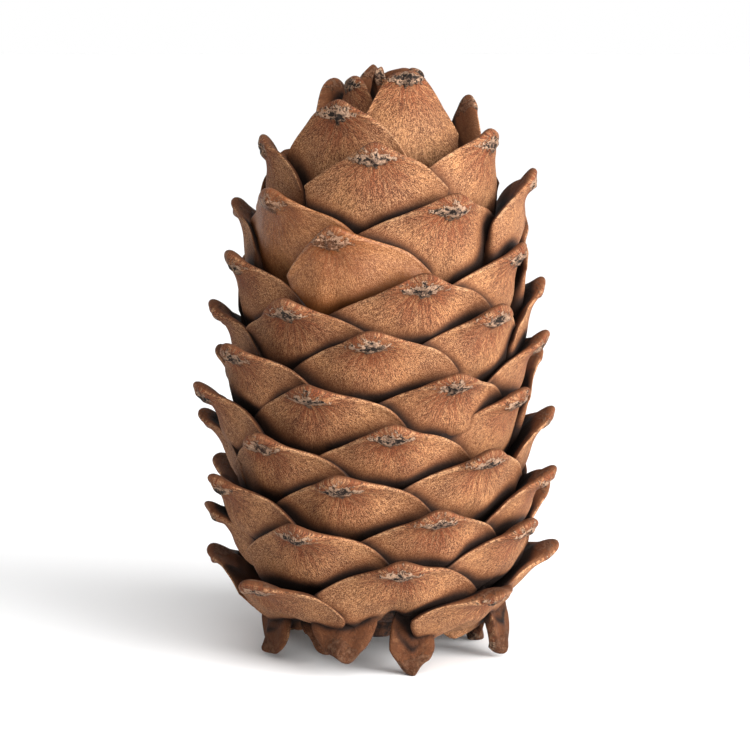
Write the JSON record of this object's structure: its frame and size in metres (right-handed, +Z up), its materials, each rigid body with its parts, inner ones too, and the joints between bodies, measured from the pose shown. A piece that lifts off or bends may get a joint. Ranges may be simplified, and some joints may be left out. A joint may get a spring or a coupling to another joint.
{
  "type": "closed pine cone",
  "caption": "Closed, dry pine cone with broad overlapping scales in spirals and bent-out tips, standing on its bent-back lowest scales.",
  "frame": {"origin": "on the surface the cone stands on, under the middle of its width and depth", "axes": "+Z up the cone's axis to its tip, -Y towards the side that shows in the usual view, +X to that viewer's right"},
  "size_m": [0.05, 0.0498, 0.0799],
  "materials": {
    "cone_wood": "dry velvety woody scales, tan brown with redder tips and grey rough scars"
  },
  "bodies": {
    "root": {"cone": "cone_wood"}
  },
  "joints": []
}
